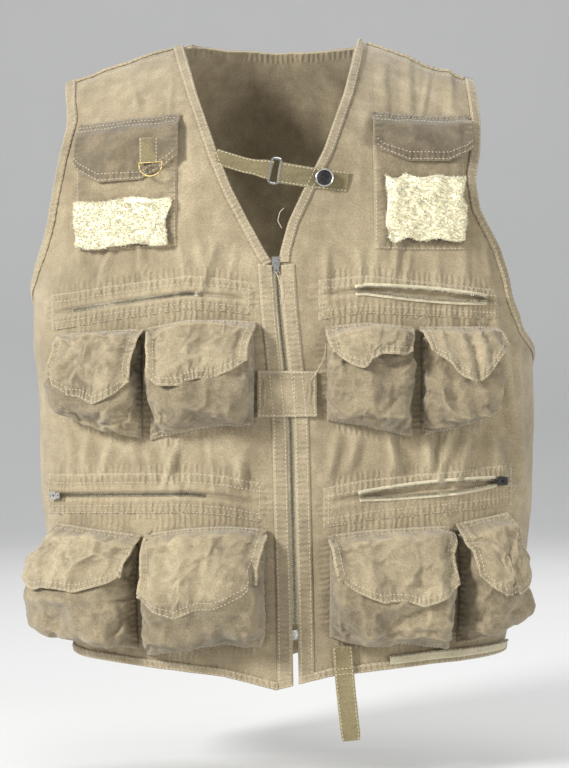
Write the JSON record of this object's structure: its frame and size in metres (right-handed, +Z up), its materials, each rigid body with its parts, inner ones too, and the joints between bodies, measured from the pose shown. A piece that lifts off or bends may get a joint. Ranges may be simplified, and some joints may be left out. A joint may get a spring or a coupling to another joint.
{
  "type": "utility work vest",
  "caption": "Sleeveless khaki twill work vest with a front zip, flapped bellows pockets, zipped pockets, fleece patches, a neck strap and a hanging strap.",
  "frame": {"origin": "middle of the shoulder line, where the vest sits on the wearer", "axes": "+Z up, +X to the wearer's left, +Y to the back; the front faces -Y"},
  "size_m": [0.4905, 0.2663, 0.6612],
  "materials": {
    "twill": "khaki cotton twill, washed and puckered",
    "flap_twill": "darker khaki cotton twill, crumpled",
    "olive_twill": "olive cotton webbing, stitched edges",
    "binding": "khaki twill binding with two rows of stitches",
    "cream_tape": "pale cream zip tape with metal teeth",
    "fleece": "cream sheep fleece, matted",
    "brass": "dull brass",
    "steel": "bright nickelled steel",
    "dark_steel": "blackened steel"
  },
  "bodies": {
    "vest": {"right_front_panel": "twill", "left_front_panel": "twill", "back_panel": "twill", "right_shoulder_seam": "binding", "left_shoulder_seam": "binding", "neck_binding": "binding", "right_armhole_binding": "binding", "left_armhole_binding": "binding", "hem_band": "binding", "front_zip": "cream_tape", "right_placket": "twill", "left_placket": "twill", "front_zip_box": "steel", "waist_tab": "twill", "front_zip_slider": "steel", "right_neck_strap": "twill", "left_neck_strap": "twill", "neck_strap_ring": "steel", "neck_strap_snap": "dark_steel", "right_middle_zip_panel": "flap_twill", "right_middle_zip": "cream_tape", "left_middle_zip_panel": "flap_twill", "left_middle_zip": "cream_tape", "right_lower_zip_panel": "flap_twill", "right_lower_zip": "cream_tape", "right_lower_zip_slider": "steel", "left_lower_zip_panel": "flap_twill", "left_lower_zip": "cream_tape", "left_lower_zip_slider": "steel", "right_middle_inner_pocket": "flap_twill", "right_middle_inner_flap": "twill", "right_middle_outer_pocket": "flap_twill", "right_middle_outer_flap": "twill", "left_middle_inner_pocket": "flap_twill", "left_middle_inner_flap": "twill", "left_middle_outer_pocket": "flap_twill", "left_middle_outer_flap": "twill", "right_lower_inner_pocket": "flap_twill", "right_lower_inner_flap": "twill", "right_lower_outer_pocket": "flap_twill", "right_lower_outer_flap": "twill", "left_lower_inner_pocket": "flap_twill", "left_lower_inner_flap": "twill", "left_lower_outer_pocket": "flap_twill", "left_lower_outer_flap": "twill", "right_chest_pocket": "twill", "right_chest_flap": "flap_twill", "right_fleece": "fleece", "left_chest_pocket": "twill", "left_chest_flap": "flap_twill", "left_fleece": "fleece", "ring_tab": "twill", "hanging_strap": "olive_twill", "hem_zip": "cream_tape"},
    "front_pull": {"front_zip_pull": "brass"},
    "right_lower_pull": {"right_lower_zip_pull": "steel"},
    "left_lower_pull": {"left_lower_zip_pull": "steel"},
    "ring": {"d_ring": "brass"}
  },
  "joints": [
    {"name": "front_pull_swing", "type": "hinge", "parent": "vest", "child": "front_pull", "pos_m": [-0.00046, -0.1247, -0.21722], "axis": [-0.9994, -0.0084, -0.0337], "range_deg": [0, 150]},
    {"name": "right_lower_pull_swing", "type": "hinge", "parent": "vest", "child": "right_lower_pull", "pos_m": [-0.20954, -0.0777, -0.43304], "axis": [0.1093, 0.0103, -0.994], "range_deg": [0, 150]},
    {"name": "left_lower_pull_swing", "type": "hinge", "parent": "vest", "child": "left_lower_pull", "pos_m": [0.21087, -0.09101, -0.41876], "axis": [0.0294, -0.0167, 0.9994], "range_deg": [0, 150]},
    {"name": "ring_swing", "type": "hinge", "parent": "vest", "child": "ring", "pos_m": [-0.11504, -0.11584, -0.12642], "axis": [-0.9827, 0.1789, -0.0485], "range_deg": [0, 90]}
  ]
}
